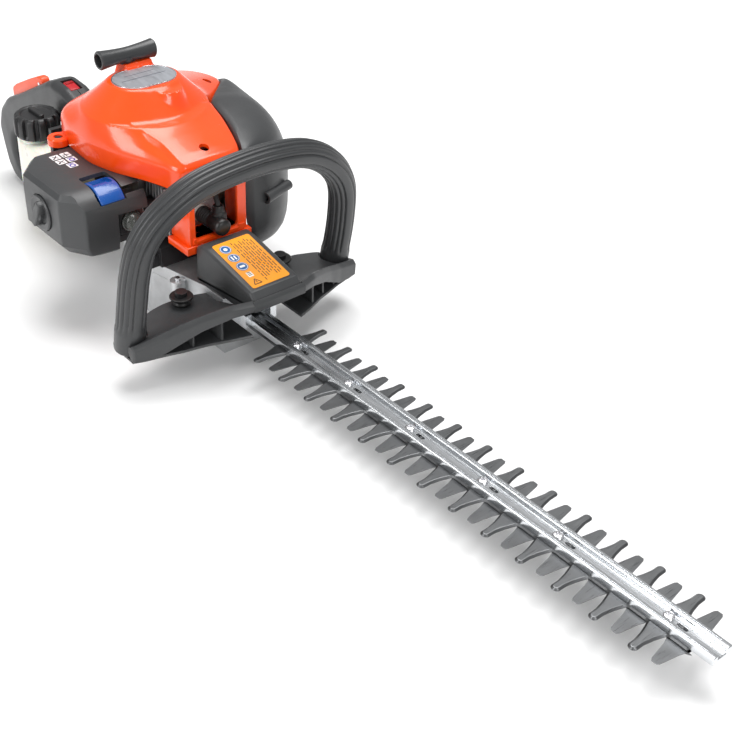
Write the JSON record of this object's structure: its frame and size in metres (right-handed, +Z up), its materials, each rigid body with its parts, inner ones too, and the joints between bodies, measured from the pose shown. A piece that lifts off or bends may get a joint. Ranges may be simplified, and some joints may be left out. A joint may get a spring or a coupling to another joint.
{
  "type": "hedge trimmer",
  "caption": "Petrol hedge trimmer: double-sided reciprocating blades on a guide bar, loop front handle, D-shaped rear handle with trigger.",
  "frame": {"origin": "middle of the bounding box, on the surface that the machine rests on", "axes": "+X along the guide bar to its tip, +Y towards the muffler side, +Z up along the crankshaft"},
  "size_m": [0.9739, 0.2582, 0.2295],
  "materials": {
    "orange_shell": "glossy moulded plastic",
    "dark_shell": "fine moulded texture",
    "black_plastic": "satin black",
    "grip_plastic": "ribbed soft grip plastic",
    "rubber_black": "matt rubber",
    "tank_plastic": "milky translucent",
    "blue_plastic": "glossy",
    "red_plastic": "satin",
    "lockout_plastic": "satin",
    "bulb_clear": "clear moulded bulb",
    "badge_silver": "satin silver film",
    "warning_amber": "printed film",
    "icon_film": "printed film",
    "blade_steel": "ground tool steel",
    "bar_alloy": "extruded and brushed",
    "cast_alloy": "die cast",
    "machine_steel": "machined",
    "bright_screw": "zinc plated",
    "black_screw": "black oxide",
    "heat_steel": "heat tinted sheet steel",
    "porcelain": "glazed ceramic",
    "foam": "open cell foam",
    "lead_rubber": "satin",
    "hose_rubber": "translucent fuel line",
    "rope_fibre": "braided cord"
  },
  "bodies": {
    "root": {"starter_cover": "orange_shell", "badge_plate": "badge_silver", "starter_rope": "rope_fibre", "rope_guide": "black_plastic", "recoil_spring": "machine_steel", "front_shroud": "orange_shell", "crankcase": "cast_alloy", "crank_bearings": "machine_steel", "cylinder": "cast_alloy", "spark_plug": "porcelain", "plug_cap": "rubber_black", "ignition_lead": "lead_rubber", "ignition_coil": "black_plastic", "carburettor": "cast_alloy", "intake_manifold": "black_plastic", "filter_element": "foam", "filter_cover": "dark_shell", "icon_label": "icon_film", "muffler": "heat_steel", "muffler_cover": "dark_shell", "fuel_tank": "tank_plastic", "fuel_hose": "hose_rubber", "base_frame": "black_plastic", "rear_handle_left": "grip_plastic", "rear_handle_right": "grip_plastic", "trigger_spring": "machine_steel", "front_handle": "grip_plastic", "handle_screws": "black_screw", "hand_guard": "dark_shell", "gear_cover": "dark_shell", "warning_label": "warning_amber", "gearcase_upper": "cast_alloy", "gearcase_lower": "cast_alloy", "gear_bearings": "machine_steel", "guide_bar": "bar_alloy", "blade_bolts": "bright_screw", "blade_nuts": "bright_screw", "bar_bracket": "bar_alloy", "av_mounts": "rubber_black", "cover_screws": "black_screw", "gearcase_screws": "bright_screw"},
    "clutch_drum": {"clutch_drum": "machine_steel"},
    "crank_gear": {"crank_gear": "machine_steel"},
    "upper_blade": {"upper_blade": "blade_steel"},
    "lower_blade": {"lower_blade": "blade_steel"},
    "crankshaft": {"crankshaft": "machine_steel", "flywheel": "cast_alloy", "clutch_rotor": "machine_steel"},
    "piston": {"piston": "cast_alloy", "connecting_rod": "machine_steel"},
    "starter_grip": {"starter_grip": "grip_plastic"},
    "starter_pulley": {"starter_pulley": "black_plastic"},
    "throttle_trigger": {"throttle_trigger": "black_plastic"},
    "throttle_lockout": {"throttle_lockout": "lockout_plastic"},
    "stop_switch": {"stop_switch": "red_plastic"},
    "choke_lever": {"choke_lever": "blue_plastic"},
    "filter_knob": {"filter_knob": "grip_plastic"},
    "fuel_cap": {"fuel_cap": "black_plastic"},
    "primer_bulb": {"primer_bulb": "bulb_clear"}
  },
  "joints": [
    {"name": "clutch_drum_spin", "type": "hinge", "parent": "root", "child": "clutch_drum", "pos_m": [-0.197, 0, 0.05], "axis": [0, 0, 1], "range_deg": [-360, 360]},
    {"name": "crank_gear_spin", "type": "hinge", "parent": "root", "child": "crank_gear", "pos_m": [-0.152, 0, 0.04], "axis": [0, 0, 1], "range_deg": [-90.5, 90.5]},
    {"name": "upper_blade_slide", "type": "slide", "parent": "root", "child": "upper_blade", "axis": [1, 0, 0], "range_m": [-0.0086, 0.0086]},
    {"name": "lower_blade_slide", "type": "slide", "parent": "root", "child": "lower_blade", "axis": [1, 0, 0], "range_m": [-0.0086, 0.0086]},
    {"name": "crankshaft_spin", "type": "hinge", "parent": "root", "child": "crankshaft", "pos_m": [-0.197, 0, 0.106], "axis": [0, 0, 1], "continuous": true},
    {"name": "piston_slide", "type": "slide", "parent": "root", "child": "piston", "axis": [1, 0, 0], "range_m": [-0.0125, 0.0125]},
    {"name": "starter_pull", "type": "slide", "parent": "root", "child": "starter_grip", "axis": [0, 0, 1], "range_m": [0, 0.6], "stiffness_N_per_m": 12, "springref_m": -0.25, "deforming": ["starter_rope"]},
    {"name": "starter_pulley_spin", "type": "hinge", "parent": "root", "child": "starter_pulley", "pos_m": [-0.197, 0, 0.183], "axis": [0, 0, 1], "range_deg": [0, 1700]},
    {"name": "throttle_trigger_pull", "type": "hinge", "parent": "root", "child": "throttle_trigger", "pos_m": [-0.372, 0, 0.116], "axis": [0, 1, 0], "range_deg": [0, 10], "stiffness_Nm_per_rad": 0.5, "springref_deg": -22.92},
    {"name": "throttle_lockout_press", "type": "hinge", "parent": "root", "child": "throttle_lockout", "pos_m": [-0.396, 0, 0.134], "axis": [0, -1, 0], "range_deg": [0, 7], "stiffness_Nm_per_rad": 0.5, "springref_deg": -22.92},
    {"name": "stop_switch_rock", "type": "hinge", "parent": "root", "child": "stop_switch", "pos_m": [-0.336, 0, 0.148], "axis": [0, 1, 0], "range_deg": [-6, 6]},
    {"name": "choke_lever_turn", "type": "hinge", "parent": "root", "child": "choke_lever", "pos_m": [-0.153, -0.076, 0.116], "axis": [0, -1, 0], "range_deg": [0, 18]},
    {"name": "filter_knob_turn", "type": "hinge", "parent": "root", "child": "filter_knob", "pos_m": [-0.186, -0.12, 0.113], "axis": [0, -1, 0], "continuous": true},
    {"name": "fuel_cap_turn", "type": "hinge", "parent": "root", "child": "fuel_cap", "pos_m": [-0.34, -0.0395, 0.12], "axis": [0, 0, 1], "continuous": true},
    {"name": "primer_bulb_press", "type": "slide", "parent": "root", "child": "primer_bulb", "axis": [-1, 0, 0], "range_m": [0, 0.004], "stiffness_N_per_m": 300, "springref_m": -0.002}
  ],
  "couplings": [
    {"joint": "crank_gear_spin", "follows": "clutch_drum_spin", "ratio": -0.25},
    {"joint": "upper_blade_slide", "follows": "clutch_drum_spin", "m_per_rad": 0.0013528},
    {"joint": "lower_blade_slide", "follows": "clutch_drum_spin", "m_per_rad": -0.0013528},
    {"joint": "starter_pulley_spin", "follows": "starter_pull", "rad_per_m": 48.08}
  ]
}
